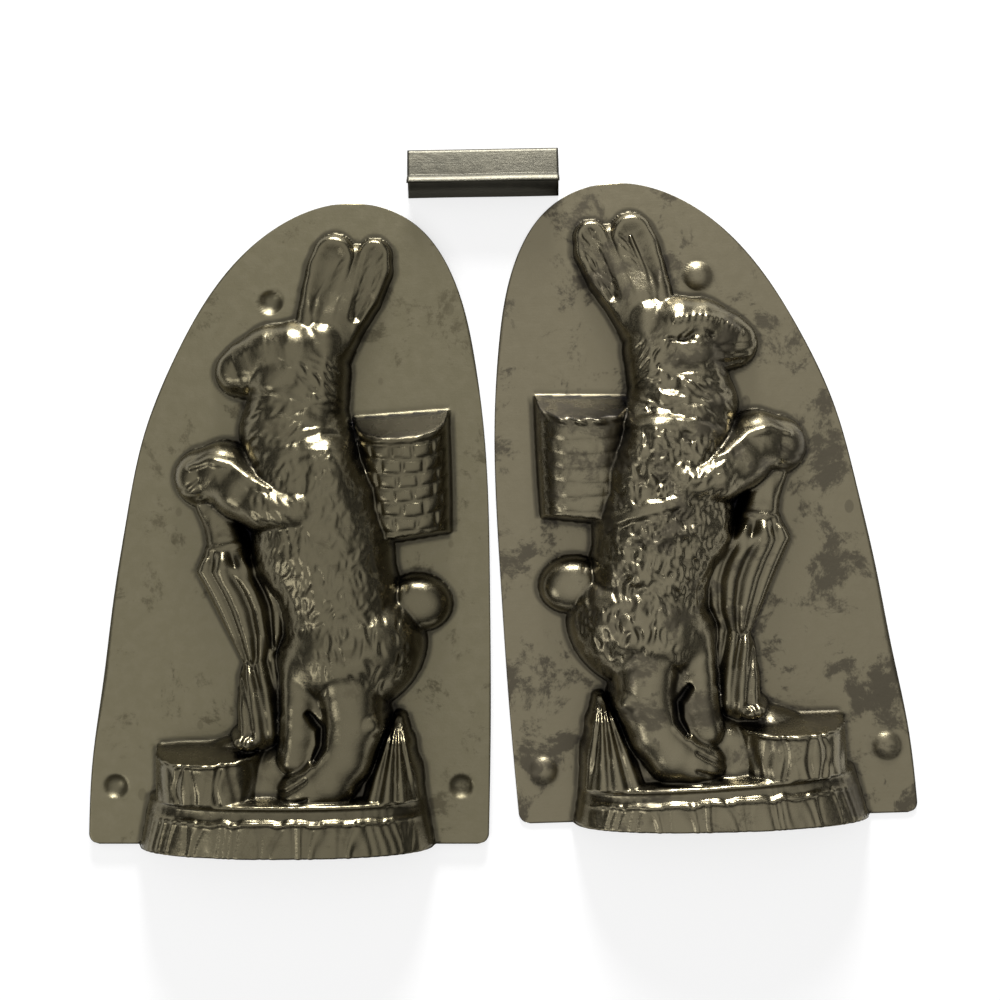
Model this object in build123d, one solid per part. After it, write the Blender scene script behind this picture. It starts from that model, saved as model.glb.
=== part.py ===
from build123d import *
from math import asin, atan2, cos, degrees, pi, radians, sin, tan
import numpy as np
import os

# Two-part mould for a standing chocolate hare, pressed from tinned steel sheet, and its clip.
# Millimetres, +Z up. The halves lie side by side, relief upwards, the clip behind them.
# Each half is worked out in its own frame: X across, Y from the open foot to the ears,
# Z up from its parting face. The right half is the mirror image of the left one.
# Every form of the figure gives the height of the sheet's top side over the parting face; the
# under side lies one sheet thickness away from it. Cross sections are taken from the foot to the
# crown, and neighbouring sections are joined by flat facets. Fur, weave and bark are too fine
# for these and left out.

# Sheet and flange
sheet = 0.8
flange_width = 132.6
flange_height = 212.4
foot_corner = 3.5

# Hare: the figure sizes below are written for this height and follow it
hare_height = 202.4
written_height = 202.4

# Base drum under the hare, open at the foot for pouring
base_width = 97.4
base_depth = 27.0
base_height = 16.6
base_taper = 3.0
bark_top = 11.0
bead_rise = 1.1

# Tree stump beside the legs
stump_middle = -24.0
stump_width = 38.6
stump_depth = 23.5
stump_height = 34.5
stump_slope = 0.21

# Basket on the back
basket_middle = 38.9
basket_bottom = 100.5
basket_height = 43.0
basket_mouth_width = 32.0
basket_foot_width = 25.0
basket_depth = 17.5
basket_lean = 4.5
mouth_slope = 0.53
rim_thickness = 2.8
rim_rise = 1.0

# Folded umbrella
umbrella_depth = 12.5
pleats = 4
pleat_rise = 1.8

# Register dimples: bumps under the left half, hollows under the right half
dimple_width = 9.0
dimple_depth = 2.2
dimple_clearance = 0.2
side_dimple_inset = 9.0
side_dimple_height = 19.0
top_dimple_height = 179.5
top_dimple_side = -6.0

# Spring clip
clip_length = 50.0
clip_sheet = 0.7
clip_leg = 8.0
clip_back_gap = 2.4
clip_pinch_gap = 1.0
clip_lip = 6.6
clip_lip_angle = 44.0
clip_bend = 1.0

# Layout as the pieces lie
half_pitch = 143.1
half_shift = 9.2
right_turn = 4.2
right_foot_skew = 2.5
right_foot_drop = 1.0
clip_side = 64.4
clip_reach = 222.7
clip_turn = 1.0

# Pressing: steepest wall, fullness of a form's section (2 is an ellipse), rounding of creases
draft_slope = 4.5
fullness = 2.5
crease_round = 1.6

# Facets: number of sections, those of them close to the crown, and points across a section
sections = 43
crown_sections = 6
crown_length = 10.0
points_across = 34

unit = hare_height / written_height
nowhere = -30.0
side_dimple_place = flange_width / 2 - side_dimple_inset
dimple_places = [
    (-side_dimple_place, side_dimple_height),
    (side_dimple_place, side_dimple_height),
    (top_dimple_side, top_dimple_height),
]


def blend(first, second, round_by=crease_round):
    """Higher of two height maps, with the crease between them rounded."""
    share = np.clip(0.5 + (first - second) / (2 * round_by), 0, 1)
    return second + (first - second) * share + round_by * share * (1 - share) * 0.5


def cut_back(first, second, round_by=crease_round):
    """Lower of two height maps, with the edge between them rounded."""
    return -blend(-first, -second, round_by)


def pillow(across, height, edge):
    """Full round top over a unit section, with the wall drafted near the edge."""
    inside = np.clip(1 - np.abs(across) ** fullness, 0, None)
    top = height * inside ** (1 / fullness)
    return np.where(inside > 0, np.minimum(top, draft_slope * edge + 0.2), draft_slope * edge)


def blob(x, y, middle, reach, turn):
    """Half an ellipsoid, turned in the flange plane."""
    angle = radians(turn)
    dx, dy = x - middle[0] * unit, y - middle[1] * unit
    wide, long, high = (half * unit for half in reach)
    along = (dx * cos(angle) + dy * sin(angle)) / wide
    across = (dy * cos(angle) - dx * sin(angle)) / long
    share = np.sqrt(along**2 + across**2)
    return np.maximum(pillow(share, high, (1 - share) * min(wide, long)), nowhere)


def spine(x, y, stations):
    """Distance from a chain of stations, its side, and the stations' values at the nearest point."""
    best = None
    for start, stop in zip(stations[:-1], stations[1:]):
        ax, ay, bx, by = (value * unit for value in (start[0], start[1], stop[0], stop[1]))
        length = (bx - ax) ** 2 + (by - ay) ** 2
        share = np.clip(((x - ax) * (bx - ax) + (y - ay) * (by - ay)) / length, 0, 1)
        dx, dy = x - ax - share * (bx - ax), y - ay - share * (by - ay)
        side = np.sign((bx - ax) * dy - (by - ay) * dx)
        values = [(first + share * (last - first)) * unit for first, last in zip(start[2:], stop[2:])]
        found = [np.hypot(dx, dy), side] + values
        if best is None:
            best = found
        else:
            closer = found[0] / found[2] < best[0] / best[2]
            best = [np.where(closer, new, old) for new, old in zip(found, best)]
    return best


def limb(x, y, stations):
    """Round body along a chain of stations given as x, y, half width, height."""
    distance, _, half_width, height = spine(x, y, stations)
    return np.maximum(pillow(distance / half_width, height, half_width - distance), nowhere)


def groove(x, y, stations, depth):
    """Depth of a round channel along a chain of stations given as x, y, half width."""
    distance, _, half_width = spine(x, y, stations)
    return depth * np.clip(1 - (distance / half_width) ** 2, 0, 1) ** 1.5


def body(x, y):
    """Trunk from the hips to the neck."""
    stations = [
        (19, 70, 21, 24),
        (16.5, 84, 21, 25),
        (13.5, 98, 22.3, 25.5),
        (9.8, 112, 22, 25),
        (6, 125, 20.5, 23.5),
        (3, 137, 19.3, 20.5),
        (3.4, 147, 17, 18),
        (6, 157, 14.5, 16),
    ]
    return limb(x, y, stations)


def head(x, y):
    """Skull with its snout, cheek, brow, eye and mouth."""
    stations = [
        (-19, 156.8, 5.2, 7.5),
        (-14, 157, 9.8, 12),
        (-7.5, 158, 12.2, 15),
        (0, 159.6, 13.8, 17.2),
        (9, 160, 13, 17),
    ]
    skull = limb(x, y, stations)
    cheek = blob(x, y, (0.5, 152.5), (10.5, 8, 18.6), 10)
    brow = limb(x, y, [(-6, 163.4, 3, 15.2), (4, 164.6, 3.4, 17.8)])
    socket = groove(x, y, [(-6.5, 158, 1.6), (1.5, 158, 2.2)], 1.0)
    mouth = groove(x, y, [(-17, 150, 1.2), (-9, 150, 1.2), (-5, 148, 0.9)], 0.9)
    return blend(blend(skull, cheek), brow) - socket - mouth


def arms(x, y):
    """Near arm with its paw on the umbrella, and the far sleeve behind it."""
    stations = [
        (4, 111, 10.5, 28),
        (-5, 113.4, 11.8, 25.2),
        (-13, 118, 11.6, 21),
        (-21, 122.6, 10.6, 17.2),
        (-28, 121, 9.4, 14.2),
    ]
    near = limb(x, y, stations)
    far = limb(x, y, [(-4, 128.5, 8.5, 20.5), (-13, 130, 7.6, 16), (-19.5, 129, 6, 12.5)])
    return blend(near, far)


def ears(x, y):
    """Two ears side by side, each with a hollow pressed into its front."""
    near_stations = [
        (7.6, 168, 6, 13),
        (9, 176, 6.4, 11.5),
        (11.3, 184.5, 7, 10.5),
        (13.8, 191.5, 7.6, 10),
        (15.6, 195, 7.4, 9.5),
    ]
    near = limb(x, y, near_stations)
    near = near - groove(x, y, [(9.5, 175, 3.6), (12, 184.5, 4.8), (14.8, 192.5, 5.2)], 2.6)
    far_stations = [
        (15.5, 164, 6, 13),
        (19.4, 173, 6.6, 11),
        (24, 181.5, 7.4, 9.6),
        (27.8, 190, 7.2, 8.6),
        (28.7, 194.2, 6.4, 8.2),
    ]
    far = limb(x, y, far_stations)
    far = far - groove(x, y, [(21, 174, 3), (25.4, 183, 4), (28.6, 191, 4.2)], 2.0)
    web = limb(x, y, [(14, 170, 5, 9), (20, 184, 5, 6.5), (22, 192, 4.5, 5)])
    return blend(blend(near, far, 1), web, 1)


def legs(x, y):
    """Thigh, shin and foot in front, the calf inside them, the far leg with its folds, and the tail."""
    thigh = blob(x, y, (21, 64), (25.5, 20, 27.5), 22)
    shin = limb(x, y, [(22, 54, 13, 25), (22, 44, 11.2, 23.8), (22, 34, 10, 22.8), (21.5, 25, 10.5, 22)])
    foot_stations = [
        (23, 20.5, 9.3, 22),
        (14.5, 20.6, 9.3, 23.2),
        (8.5, 20, 8, 22.8),
        (5.5, 19.4, 6, 21.4),
    ]
    foot = limb(x, y, foot_stations)
    toes = groove(x, y, [(0, 20, 1.2), (8, 21, 0.8)], 1.4)
    toes = toes + groove(x, y, [(1, 15.6, 1.2), (8, 16.4, 0.8)], 1.4)
    calf = limb(x, y, [(6, 60, 8.5, 20), (5.6, 48, 8, 20.5), (6, 37, 7.4, 20), (7, 28, 6.6, 19.5)])
    notch = groove(x, y, [(7.5, 44.5, 1.4), (13, 41, 2.2), (14, 34.5, 2.2), (11, 29.5, 1.4)], 4.0)
    front = blend(blend(thigh, shin, 3), blend(foot - toes, calf)) - notch
    far_leg = limb(x, y, [(-6, 66, 7.5, 10), (-7.8, 56, 8, 13.5), (-8.4, 47, 7.8, 15.5), (-9.4, 40, 8, 17)])
    fold = np.sin((x + 0.14 * y) * 2 * pi / (5.6 * unit))
    far_leg = far_leg + np.where(far_leg > 1, 0.8 * fold, 0)
    far_foot = blob(x, y, (-11, 36.5), (7.2, 5.4, 21), 8)
    tail = blob(x, y, (42.6, 80), (11.8, 9.8, 14), -8)
    return blend(blend(front, tail, 3), blend(far_leg, far_foot))


def ground(x, y):
    """Base drum with its two beads, earth, grass and stump."""
    half = (base_width / 2 - base_taper * y / base_height) * unit
    bark_bead = bead_rise * np.exp(-(((y - bark_top * unit) / 1.5) ** 2))
    cove = -0.8 * np.clip(y - bark_top * unit, 0, 1)
    drum = pillow(x / half, base_depth * unit + bark_bead + cove, half - np.abs(x))
    drum = np.minimum(drum, 2 * draft_slope * (base_height * unit - y))
    earth = blob(x, y, (2, 17), (43, 22, 17), 0)
    grass = limb(x, y, [(38.6, 14, 8, 18), (37.8, 26, 7.4, 15.5), (36.4, 36, 5, 11.5), (36, 41, 2.6, 8)])
    middle = stump_middle * unit
    half = stump_width * unit / 2
    stump = pillow((x - middle) / half, stump_depth * unit, half - np.abs(x - middle))
    cut = (stump_height * unit + 0.05 * (x - middle) - y) / stump_slope
    stump = np.where(y > (base_height - 4) * unit, cut_back(stump, cut, 0.8), nowhere)
    root = limb(x, y, [(-23, 23, 2.6, 19), (-17, 17, 3.2, 20.5), (-9, 13, 2.8, 20.5)])
    return blend(blend(drum, stump, 1), blend(blend(earth, root), grass))


def basket(x, y):
    """Oval basket with a rolled rim and a slanting mouth."""
    lean = tan(radians(basket_lean))
    tall, bottom, centre = basket_height * unit, basket_bottom * unit, basket_middle * unit
    up = (y - bottom) / tall
    middle = centre - lean * (y - bottom - tall / 2)
    swell = np.clip(up + 0.08, 0, 1.1) ** 0.55
    half = (basket_foot_width + (basket_mouth_width - basket_foot_width) * swell) * unit / 2
    depth = (basket_depth - 3 * (1 - np.clip(up, 0, 1)) ** 1.6) * unit
    side = pillow((x - middle) / half, depth, half - np.abs(x - middle))
    edge = bottom + tall + lean * (x - centre)
    below = edge - mouth_slope * side - y
    side = side + rim_rise * np.sin(pi * np.clip(below / rim_thickness, 0, 1))
    mouth = (edge - y) / mouth_slope
    floor = (y - bottom - 0.17 * (x - centre)) * draft_slope
    return np.maximum(cut_back(cut_back(side, mouth, 0.8), floor), nowhere)


def umbrella(x, y):
    """Folded umbrella: handle under the paw, shoulders, then pleats down to the tip."""
    stations = [
        (-24.5, 110, 4.8, umbrella_depth - 5),
        (-22, 103, 5.2, umbrella_depth - 4.5),
        (-20, 98, 6.8, umbrella_depth - 3.5),
        (-18.4, 92, 10.2, umbrella_depth - 0.5),
        (-14, 84, 10.8, umbrella_depth),
        (-10.4, 75, 9.8, umbrella_depth),
        (-9.4, 67, 6.8, umbrella_depth - 2),
        (-9, 61, 4.2, umbrella_depth - 4),
    ]
    distance, side, half_width, height = spine(x, y, stations)
    cloth = pillow(distance / half_width, height, half_width - distance)
    turn = pi * pleats * (side * distance / half_width + 1) / 2
    pleated = pleat_rise * (np.abs(np.sin(turn)) - 0.4) * np.clip((98 * unit - y) / 6, 0, 1)
    return np.maximum(cloth + np.where(cloth > 0.5, pleated, 0), nowhere)


def figure(x, y):
    """Height of the whole figure over the parting face."""
    hare = blend(blend(body(x, y), head(x, y), 2.5), arms(x, y), 1)
    hare = blend(blend(hare, legs(x, y), 3), ears(x, y))
    carried = np.maximum(basket(x, y), umbrella(x, y))
    return blend(hare, np.maximum(carried, ground(x, y)), 0.6)


def dimples(x, y, side_of_sheet, clearance, upwards):
    """Height that the three round dimples add over one side of the sheet, or take off it."""
    radius = ((dimple_width / 2) ** 2 + dimple_depth**2) / (2 * dimple_depth)
    bend = side_of_sheet if upwards else -side_of_sheet
    inside = [(radius + clearance + bend) ** 2 - (x - a) ** 2 - (y - b) ** 2 for a, b in dimple_places]
    caps = [np.sqrt(np.clip(part, 0, None)) - (radius - dimple_depth + bend) for part in inside]
    height = sum(np.clip(cap, 0, None) for cap in caps)
    return height if upwards else -height


def top_side(x, y, upwards):
    """Height of the sheet's top side."""
    relief = np.maximum(blend(figure(x, y), sheet, 1), sheet)
    return relief + dimples(x, y, sheet, dimple_clearance * upwards, upwards)


def outline():
    """Left and right edge of the flange as x over y, up to the crown."""
    shape = [
        (-0.499, 0.0),
        (-0.49, 0.13),
        (-0.463, 0.255),
        (-0.438, 0.38),
        (-0.406, 0.505),
        (-0.363, 0.635),
        (-0.287, 0.756),
        (-0.169, 0.881),
        (-0.035, 0.96),
        (0.165, 1.0),
        (0.315, 0.968),
        (0.414, 0.881),
        (0.466, 0.756),
        (0.491, 0.631),
        (0.504, 0.4),
        (0.506, 0.2),
        (0.501, 0.0),
    ]
    curve = Edge.make_spline([(x * flange_width, y * flange_height) for x, y in shape])
    points = [curve.position_at(i / 600) for i in range(601)]
    xs = np.array([point.X for point in points])
    ys = np.array([point.Y for point in points])
    crown = int(ys.argmax())
    return xs[: crown + 1], ys[: crown + 1], xs[crown:][::-1], ys[crown:][::-1]


def section_heights(top, upwards):
    """Places of the sections: close where the relief changes, at the foot corners and the crown."""
    near_foot = [foot_corner * share for share in (0, 0.06, 0.3, 0.65)]
    near_crown = [top - crown_length * (1 - i / crown_sections) ** 2 for i in range(crown_sections)]
    fine = np.linspace(foot_corner, top - crown_length, 500)
    across = np.linspace(-0.45, 0.45, 90)[:, None] * flange_width
    relief = top_side(across, fine[None, :], upwards)
    change = np.abs(np.gradient(relief, fine, axis=1)).mean(axis=0) + 0.35
    total = np.concatenate([[0], np.cumsum((change[1:] + change[:-1]) / 2)])
    middle = np.interp(np.linspace(0, total[-1], sections), total, fine)
    for _, level in dimple_places:
        middle[np.abs(middle - level).argmin()] = level
    return near_foot + list(middle[:-1]) + near_crown + [top - 0.01]


def relief_reach(places, upwards):
    """Left and right end of the relief at each place, run together to two smooth lines."""
    levels = np.linspace(0, flange_height, 213)
    across = np.linspace(-0.5, 0.5, 300) * flange_width
    raised = np.abs(top_side(across[:, None], levels[None, :], upwards) - sheet) > 0.1 * sheet
    centre = np.interp(levels, (0, flange_height), (0, 0.165 * flange_width))
    low = np.where(raised.any(axis=0), across[raised.argmax(axis=0)], centre)
    high = np.where(raised.any(axis=0), across[-1 - raised[::-1].argmax(axis=0)], centre)
    reach = 7
    window = np.ones(reach) / reach
    lines = []
    for line in (low, -high):
        padded = np.pad(line, reach - 1, mode="edge")
        widest = np.lib.stride_tricks.sliding_window_view(padded, 2 * reach - 1).min(axis=1)
        smooth = np.convolve(np.pad(widest, reach // 2, mode="edge"), window, mode="valid")
        lines.append(np.interp(places, levels, smooth) - 1.5)
    return lines[0], -lines[1]


def spread(x_low, x_high, y, lean, upwards):
    """Places along a section, closer together where the sheet is steep or turns."""
    fine = np.linspace(x_low, x_high, 600)
    weight = np.zeros_like(fine)
    for offset in (-3, -1.5, 0, 1.5, 3):
        slope = np.gradient(top_side(fine, y + offset + lean * fine, upwards), fine)
        weight = weight + np.hypot(1, slope) + 1.2 * np.abs(np.gradient(slope, fine))
    window = np.hanning(31)[1:-1]
    weight = np.convolve(np.pad(weight, 14, mode="edge"), window / window.sum(), mode="valid")
    total = np.concatenate([[0], np.cumsum((weight[1:] + weight[:-1]) / 2)])
    places = np.interp(np.linspace(0, total[-1], points_across), total, fine)
    for side, level in dimple_places:
        if abs(y + lean * side - level) < dimple_width / 2:
            places[np.abs(places - side).argmin()] = side
    return places


def beneath(x, z, y, lean, upwards):
    """Corners on the under side that face the given corners on the top side, square to the sheet."""
    step = 0.5
    row = y + lean * x
    slope_x = (top_side(x + step, row, upwards) - top_side(x - step, row, upwards)) / (2 * step)
    slope_y = (top_side(x, row + step, upwards) - top_side(x, row - step, upwards)) / (2 * step)
    distance = sheet * np.sqrt(1 + slope_x**2 + slope_y**2) / (1 + slope_x**2)
    moved = x + np.clip(distance * slope_x, -1.2 * sheet, 1.2 * sheet)
    moved[0], moved[-1] = x[0], x[-1]
    gaps = 0.02 * np.arange(len(x))
    forward = np.maximum.accumulate(moved - gaps) + gaps
    places = np.clip(forward, x[0] + gaps, x[-1] - gaps[::-1])
    parting = dimples(places, y + lean * places, 0, dimple_clearance * upwards, upwards)
    height = np.minimum(z - distance, np.interp(places, x, z) - 0.7 * sheet)
    thin = np.clip(np.interp(x, places, height) - z + 0.6 * sheet, 0, None)
    after = np.clip(np.searchsorted(places, x), 1, len(x) - 1)
    np.subtract.at(height, after, thin)
    np.subtract.at(height, after - 1, thin)
    return places, np.maximum(height, parting)


def section_ring(height, edges, reach, skew, drop, upwards):
    """Corners of one section, round from the flange's left edge."""
    low, high = reach
    away = 1 - height / edges[1][-1]
    lean = tan(radians(skew)) * away
    y = height - drop * away
    round_off = max(foot_corner - height, 0)
    inset = foot_corner - (foot_corner**2 - round_off**2) ** 0.5
    x_low = np.interp(height, edges[1], edges[0]) + inset
    x_high = np.interp(height, edges[3], edges[2]) - inset
    margin = min(2.5, 0.08 * (x_high - x_low))
    above = spread(max(low, x_low + margin), min(high, x_high - margin), y, lean, upwards)
    top = top_side(above, y + lean * above, upwards)
    below, bottom = beneath(above, top, y, lean, upwards)
    xs = np.concatenate([[x_low, x_low], above, [x_high, x_high], below[::-1]])
    zs = np.concatenate([[0, sheet], top, [sheet, 0], bottom[::-1]])
    return np.column_stack([xs, y + lean * xs, zs])


def facets(first, last):
    """Flat faces between two sections: one where four corners lie in a plane, two elsewhere."""
    faces = []
    for a, b, c, d in zip(first, np.roll(first, -1, axis=0), np.roll(last, -1, axis=0), last):
        normal = np.cross(c - a, d - b)
        if abs(np.dot(normal, b - a)) < 1e-7 * np.linalg.norm(normal):
            faces.append((a, b, c, d))
        elif np.linalg.norm(c - a) < np.linalg.norm(d - b):
            faces.extend([(a, b, c), (a, c, d)])
        else:
            faces.extend([(a, b, d), (b, c, d)])
    return faces


def pressed_sheet(upwards, skew, drop):
    """Flat flange and relief in one sheet, from the foot to the crown."""
    edges = outline()
    places = section_heights(edges[1][-1], upwards)
    low, high = relief_reach(places, upwards)
    rings = []
    for place, reach in zip(places, zip(low, high)):
        rings.append(section_ring(place, edges, reach, skew, drop, upwards))
    faces = [rings[0], rings[-1]]
    for first, last in zip(rings, rings[1:]):
        faces.extend(facets(first, last))
    return Solid(Shell([Face(Wire.make_polygon([Vector(*p) for p in face], close=True)) for face in faces]))


def left_half():
    """The hare looks left. It lies on its three dimples."""
    half = pressed_sheet(False, 0, 0)
    return half.moved(Pos(0, 0, -half.bounding_box().min.Z))


def right_half():
    """Mirror image of the left half, with its foot cut askew and its dimples upwards."""
    half = pressed_sheet(True, right_foot_skew, right_foot_drop).mirror(Plane.YZ)
    return half.moved(Pos(half_pitch, half_shift, 0) * Rot(0, 0, right_turn))


def spring_clip():
    """Folded strip with its mouth towards -Y, lying on the round back and the lower lip."""
    pinch = (clip_pinch_gap + clip_sheet) / 2
    back = (clip_back_gap + clip_sheet) / 2
    back_radius = 0.9 * back
    flare = radians(clip_lip_angle)
    lip_end = -clip_leg - clip_lip * cos(flare)
    lip_rise = pinch + clip_lip * sin(flare)
    path = FilletPolyline(
        (lip_end, lip_rise),
        (-clip_leg, pinch),
        (back, back),
        (back, -back),
        (-clip_leg, -pinch),
        (lip_end, -lip_rise),
        radius=[clip_bend, back_radius, back_radius, clip_bend],
    )
    section = Face(path.offset_2d(clip_sheet / 2, side=Side.BOTH))
    strip = Solid.extrude(section, Vector(0, 0, clip_length)).moved(Pos(0, 0, -clip_length / 2))
    corner = Vector(lip_end + clip_sheet / 2 * sin(flare), -lip_rise - clip_sheet / 2 * cos(flare))
    centre = Vector(back - back_radius, back_radius - back)
    across = centre - corner
    tilt = atan2(across.Y, across.X) - asin((back_radius + clip_sheet / 2) / across.length)
    strip = strip.moved(Location(Plane(origin=(0, 0, 0), x_dir=(0, 1, 0), z_dir=(1, 0, 0))))
    strip = strip.rotate(Axis.X, -degrees(tilt))
    low, high = strip.bounding_box().min, strip.bounding_box().max
    strip = strip.moved(Pos(0, -(low.Y + high.Y) / 2, -low.Z))
    return strip.moved(Pos(clip_side, clip_reach, 0) * Rot(0, 0, clip_turn))


pieces = {"left_half": left_half(), "right_half": right_half(), "spring_clip": spring_clip()}
boxes = [piece.bounding_box() for piece in pieces.values()]
middle_x = (min(box.min.X for box in boxes) + max(box.max.X for box in boxes)) / 2
middle_y = (min(box.min.Y for box in boxes) + max(box.max.Y for box in boxes)) / 2
os.makedirs("parts", exist_ok=True)
for name, piece in pieces.items():
    export_step(piece.moved(Pos(-middle_x, -middle_y, 0)), f"parts/{name}.step")
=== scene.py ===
import math

import bmesh
import bpy
import numpy as np
from mathutils import Matrix, Vector


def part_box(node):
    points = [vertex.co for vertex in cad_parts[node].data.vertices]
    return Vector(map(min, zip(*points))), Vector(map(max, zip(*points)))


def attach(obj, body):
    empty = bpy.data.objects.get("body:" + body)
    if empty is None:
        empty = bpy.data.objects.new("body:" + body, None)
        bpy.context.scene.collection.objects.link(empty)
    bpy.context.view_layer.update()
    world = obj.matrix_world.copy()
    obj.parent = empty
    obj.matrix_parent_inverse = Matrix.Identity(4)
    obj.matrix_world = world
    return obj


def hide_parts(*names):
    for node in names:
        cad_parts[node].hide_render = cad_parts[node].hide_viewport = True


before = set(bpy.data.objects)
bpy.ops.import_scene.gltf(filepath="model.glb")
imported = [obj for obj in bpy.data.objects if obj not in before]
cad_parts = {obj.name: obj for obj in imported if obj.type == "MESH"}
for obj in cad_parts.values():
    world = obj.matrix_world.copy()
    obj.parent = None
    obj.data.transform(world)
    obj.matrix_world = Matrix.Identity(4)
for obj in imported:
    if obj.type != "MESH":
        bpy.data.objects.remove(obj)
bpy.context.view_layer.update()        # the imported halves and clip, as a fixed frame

print("frame loaded")

# Everything in the dictionaries is in millimetres and degrees, unless a note says otherwise
layout = {
    "halfPitch": 143.1,
    "halfShift": 9.2,
    "rightTurn": 4.2,
    "leftRaise": 2.2,        # the left half stands on its dimples
    "clipTurn": 1.0,
}

sheetMetal = {
    "thickness": 0.8,
    "width": 132.6,
    "height": 212.4,
    "footCorner": 3.5,
    # flange edge as shares of width and height, from the left foot round the crown
    "edge": [(-0.499, 0), (-0.49, 0.13), (-0.463, 0.255), (-0.438, 0.38), (-0.406, 0.505), (-0.363, 0.635),
             (-0.287, 0.756), (-0.169, 0.881), (-0.035, 0.96), (0.165, 1), (0.315, 0.968), (0.414, 0.881),
             (0.466, 0.756), (0.491, 0.631), (0.504, 0.4), (0.506, 0.2), (0.501, 0)],
    "wallSlope": 8.0,        # rise over run of the steepest pressed wall
    "wallFoot": 0.2,
    "wallStep": 0.9,         # how far aside the underside looks for the wall beside it
    "crease": 0.8,           # rounding where the figure meets the flange
}

fineness = {                 # cells of the mesh
    "marginColumns": 24,
    "figureColumns": 168,
    "rows": 342,
    "coarser": 3,            # the underside has one cell for so many on top
    "evenedRows": 15,        # rows that the sides of the figure are smoothed over
    "edgePoints": 900,
    "searchColumns": 240,
}

dimple = {
    "width": 9.0,
    "depth": 2.1,
    "sideInset": 9.0,
    "sideHeight": 19.0,
    "top": (-6.0, 179.5),
}

# Both halves show the same hare, but face, straps and curls are crisper on the right one
leftCarving = {
    "raised": False,         # its dimples go down
    "footSkew": 0.0,
    "footDrop": 0.0,
    "rimHeight": 16.6,       # top edge of the base drum
    "barkHeight": 11.2,
    "stumpHeight": 34.5,
    "pleats": 4,
    "pleatRise": 2.0,
    "pleatGroove": 1.6,      # the deep fold beside the body
    "furLength": 4.6,
    "furDepth": 0.36,
    "furFlow": -105,
    "curls": 0.25,           # height of the lumps in the fur
    "curlSize": 2.6,
    "thighLength": 6.6,      # length and depth of the strokes on the thigh
    "thighDepth": 0.7,
    "faceLines": 0.16,       # how crisply eye, whiskers and brow are cut, 1 is full
    "basketMiddle": 38.9,
    "basketJoints": 1.0,     # how deep the upright joints are, against the courses
    "weave": 0.8,
    "rimTwist": 0.25,
    "strapRise": 0.25,       # how far the straps stand out, 1 is full
    "seed": 3,
}

rightCarving = {
    "raised": True,
    "footSkew": 2.5,
    "footDrop": 1.0,
    "rimHeight": 13.6,
    "barkHeight": 8.6,
    "stumpHeight": 32.6,
    "pleats": 4,
    "pleatRise": 1.8,
    "pleatGroove": 0.3,
    "furLength": 4.2,
    "furDepth": 0.6,
    "furFlow": -80,
    "curls": 0.85,
    "curlSize": 3.4,
    "thighLength": 5.6,
    "thighDepth": 0.8,
    "faceLines": 1.0,
    "basketMiddle": 36.9,
    "basketJoints": 0.3,
    "weave": 0.45,
    "rimTwist": 1.0,
    "strapRise": 1.0,
    "seed": 8,
}

absent = -30.0               # height of a form where it doesn't reach


def softMax(a, b, around):       # the higher of two height maps, crease rounded
    share = np.clip(0.5 + (a - b) / (2 * around), 0, 1)
    return b + (a - b) * share + around * share * (1 - share) * 0.5


def softMin(a, b, around):
    return -softMax(-a, -b, around)


def ridges(turn):        # one rounded ridge for each whole number, with a narrow valley between
    return np.sqrt(np.sin(math.pi * turn) ** 2 + 0.02)


def pillow(across, height, edge, full):      # full round top with a drafted wall at its edge
    inside = np.clip(1 - np.abs(across) ** full, 0, None)
    wall = sheetMetal["wallSlope"] * edge
    top = np.minimum(height * inside ** (1 / full), wall + sheetMetal["wallFoot"])
    return np.where(inside > 0, top, wall)


def fromCentre(x, y, centre, halves, turn):      # 0 in the middle of an oval, 1 on its edge
    angle = math.radians(turn)
    dx, dy = x - centre[0], y - centre[1]
    along = (dx * math.cos(angle) + dy * math.sin(angle)) / halves[0]
    across = (dy * math.cos(angle) - dx * math.sin(angle)) / halves[1]
    return np.sqrt(along ** 2 + across ** 2)


def egg(x, y, centre, halves, turn=0, full=2.2):         # half an ellipsoid lying on the flange
    share = fromCentre(x, y, centre, halves, turn)
    return np.maximum(pillow(share, halves[2], (1 - share) * min(halves[0], halves[1]), full), absent)


def bump(x, y, centre, halves, turn=0):      # low rounded swelling, added to the form it sits on
    return halves[2] * np.clip(1 - fromCentre(x, y, centre, halves, turn) ** 2, 0, 1)


def nearest(x, y, stations):         # distance to a chain of stations, and their values there
    found = []
    for start, stop in zip(stations[:-1], stations[1:]):
        rx, ry = stop[0] - start[0], stop[1] - start[1]
        share = np.clip(((x - start[0]) * rx + (y - start[1]) * ry) / (rx * rx + ry * ry), 0, 1)
        dx, dy = x - start[0] - share * rx, y - start[1] - share * ry
        values = [a + share * (b - a) for a, b in zip(start[2:], stop[2:])]
        found.append([np.hypot(dx, dy)] + values)
    ratios = [(distance / halfWidth) ** 2 for distance, halfWidth, *others in found]
    least = np.minimum.reduce(ratios)
    weights = [np.exp(-9 * (ratio - least)) for ratio in ratios]      # bends run into each other smoothly
    total = sum(weights)
    return [sum(w * value for w, value in zip(weights, values)) / total for values in zip(*found)]


def limb(x, y, stations, full=2.3):      # stations are x, y, half width, height
    distance, halfWidth, height = nearest(x, y, stations)
    return np.maximum(pillow(distance / halfWidth, height, halfWidth - distance, full), absent)


def groove(x, y, stations, depth):       # a ridge if depth is negative; stations are x, y, half width
    distance, halfWidth = nearest(x, y, stations)
    return -depth * np.clip(1 - (distance / halfWidth) ** 2, 0, 1) ** 1.5


def chance(i, j, seed):      # a fixed number from 0 to 1 for each cell of a pattern
    return np.modf(np.abs(np.sin(i * 127.1 + j * 311.7 + seed * 74.7) * 43758.5453))[0]


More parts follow.
